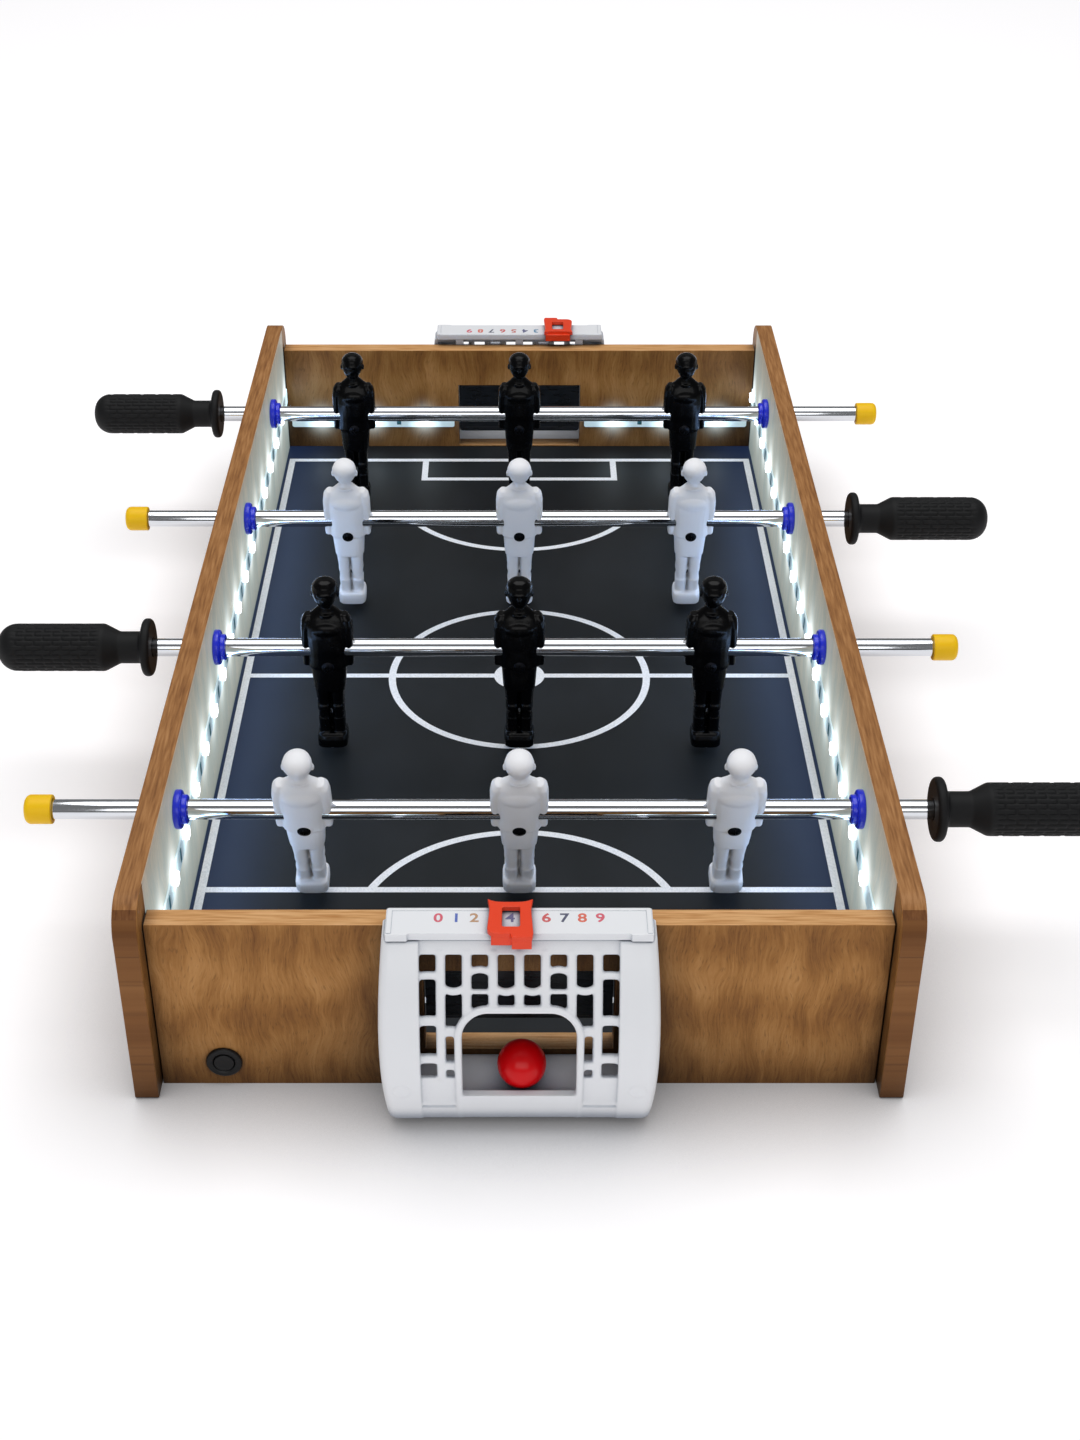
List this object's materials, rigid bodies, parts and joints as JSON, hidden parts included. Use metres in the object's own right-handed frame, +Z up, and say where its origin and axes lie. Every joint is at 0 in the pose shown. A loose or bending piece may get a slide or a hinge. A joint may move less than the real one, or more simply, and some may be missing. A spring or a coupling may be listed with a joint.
{
  "type": "foosball table",
  "caption": "Tabletop foosball table: wooden cabinet, sliding and spinning player rods, goal catches, score sliders and a lit playfield.",
  "frame": {"origin": "middle of the cabinet on the surface it stands on", "axes": "+X along the rods, +Y to the far end, +Z up"},
  "size_m": [0.512, 0.648, 0.1165],
  "materials": {
    "oak_laminate": "satin oak-pattern laminate on fibreboard",
    "pine_strip": "sawn softwood",
    "black_laminate": "satin black melamine with white printed lines",
    "blue_nylon": "moulded, slightly see-through blue",
    "chromed_tube": "polished chrome plate",
    "grip_rubber": "matte moulded rubber with long ribs",
    "yellow_cap": "moulded vinyl",
    "player_black": "glossy moulded black",
    "player_white": "satin moulded white",
    "catch_white": "moulded white, faint texture",
    "smoked_plastic": "dark smoked sheet, smooth",
    "slider_orange": "glossy moulded orange",
    "ball_red": "smooth satin red",
    "light_strip": "flexible strip with cool white chips",
    "switch_black": "moulded black",
    "box_black": "spark-textured moulded black",
    "cell_jacket": "plain printed jacket with bare steel ends",
    "wire_sheath": "soft vinyl sheath"
  },
  "bodies": {
    "root": {"side_board_left": "oak_laminate", "side_board_right": "oak_laminate", "end_board_near": "oak_laminate", "end_board_far": "oak_laminate", "playfield": "black_laminate", "field_frame": "pine_strip", "bearing_1_left": "blue_nylon", "bearing_1_right": "blue_nylon", "bearing_2_left": "blue_nylon", "bearing_2_right": "blue_nylon", "bearing_3_left": "blue_nylon", "bearing_3_right": "blue_nylon", "bearing_4_left": "blue_nylon", "bearing_4_right": "blue_nylon", "goal_catch_near": "catch_white", "score_rail_near": "catch_white", "goal_catch_far": "catch_white", "score_rail_far": "catch_white", "led_strip_left": "light_strip", "led_strip_right": "light_strip", "led_strip_near_left": "light_strip", "led_strip_near_right": "light_strip", "led_strip_far_left": "light_strip", "led_strip_far_right": "light_strip", "led_switch_body": "switch_black", "battery_box": "box_black", "battery_cell_1": "cell_jacket", "battery_cell_2": "cell_jacket", "led_wire": "wire_sheath"},
    "rod_body_1": {"rod_1": "chromed_tube"},
    "men_1": {"player_1_a": "player_black", "player_1_b": "player_black", "player_1_c": "player_black", "handle_1": "grip_rubber", "end_cap_1": "yellow_cap"},
    "rod_body_2": {"rod_2": "chromed_tube"},
    "men_2": {"player_2_a": "player_white", "player_2_b": "player_white", "player_2_c": "player_white", "handle_2": "grip_rubber", "end_cap_2": "yellow_cap"},
    "rod_body_3": {"rod_3": "chromed_tube"},
    "men_3": {"player_3_a": "player_black", "player_3_b": "player_black", "player_3_c": "player_black", "handle_3": "grip_rubber", "end_cap_3": "yellow_cap"},
    "rod_body_4": {"rod_4": "chromed_tube"},
    "men_4": {"player_4_a": "player_white", "player_4_b": "player_white", "player_4_c": "player_white", "handle_4": "grip_rubber", "end_cap_4": "yellow_cap"},
    "slider_near": {"score_slider_near": "slider_orange"},
    "slider_far": {"score_slider_far": "slider_orange"},
    "flap_near": {"goal_flap_near": "smoked_plastic"},
    "flap_far": {"goal_flap_far": "smoked_plastic"},
    "ball_body": {"ball": "ball_red"},
    "switch_button": {"led_switch_button": "switch_black"},
    "battery_door": {"battery_cover": "box_black"}
  },
  "joints": [
    {"name": "rod_slide_1", "type": "slide", "parent": "root", "child": "rod_body_1", "axis": [1, 0, 0], "range_m": [-0.031, 0.0195]},
    {"name": "men_spin_1", "type": "hinge", "parent": "rod_body_1", "child": "men_1", "pos_m": [0, 0.2034, 0.078], "axis": [1, 0, 0], "continuous": true},
    {"name": "rod_slide_2", "type": "slide", "parent": "root", "child": "rod_body_2", "axis": [1, 0, 0], "range_m": [-0.0195, 0.0365]},
    {"name": "men_spin_2", "type": "hinge", "parent": "rod_body_2", "child": "men_2", "pos_m": [0, 0.0678, 0.078], "axis": [1, 0, 0], "continuous": true},
    {"name": "rod_slide_3", "type": "slide", "parent": "root", "child": "rod_body_3", "axis": [1, 0, 0], "range_m": [-0.0365, 0.0195]},
    {"name": "men_spin_3", "type": "hinge", "parent": "rod_body_3", "child": "men_3", "pos_m": [0, -0.0678, 0.078], "axis": [1, 0, 0], "continuous": true},
    {"name": "rod_slide_4", "type": "slide", "parent": "root", "child": "rod_body_4", "axis": [1, 0, 0], "range_m": [-0.0195, 0.0365]},
    {"name": "men_spin_4", "type": "hinge", "parent": "rod_body_4", "child": "men_4", "pos_m": [0, -0.2034, 0.078], "axis": [1, 0, 0], "continuous": true},
    {"name": "score_slide_near", "type": "slide", "parent": "root", "child": "slider_near", "axis": [1, 0, 0], "range_m": [-0.02832, 0.0354]},
    {"name": "score_slide_far", "type": "slide", "parent": "root", "child": "slider_far", "axis": [1, 0, 0], "range_m": [-0.05664, 0.00708]},
    {"name": "goal_flap_swing_near", "type": "hinge", "parent": "root", "child": "flap_near", "pos_m": [0, -0.2835, 0.0603], "axis": [-1, 0, 0], "range_deg": [0, 75]},
    {"name": "goal_flap_swing_far", "type": "hinge", "parent": "root", "child": "flap_far", "pos_m": [0, 0.2835, 0.0603], "axis": [1, 0, 0], "range_deg": [0, 75]},
    {"name": "ball_out", "type": "slide", "parent": "root", "child": "ball_body", "axis": [0, -0.788, 0.6157], "range_m": [0, 0.05]},
    {"name": "switch_press", "type": "slide", "parent": "root", "child": "switch_button", "axis": [0, 1, 0], "range_m": [0, 0.0015], "stiffness_N_per_m": 300},
    {"name": "battery_cover_slide", "type": "slide", "parent": "root", "child": "battery_door", "axis": [1, 0, 0], "range_m": [0, 0.052]}
  ]
}
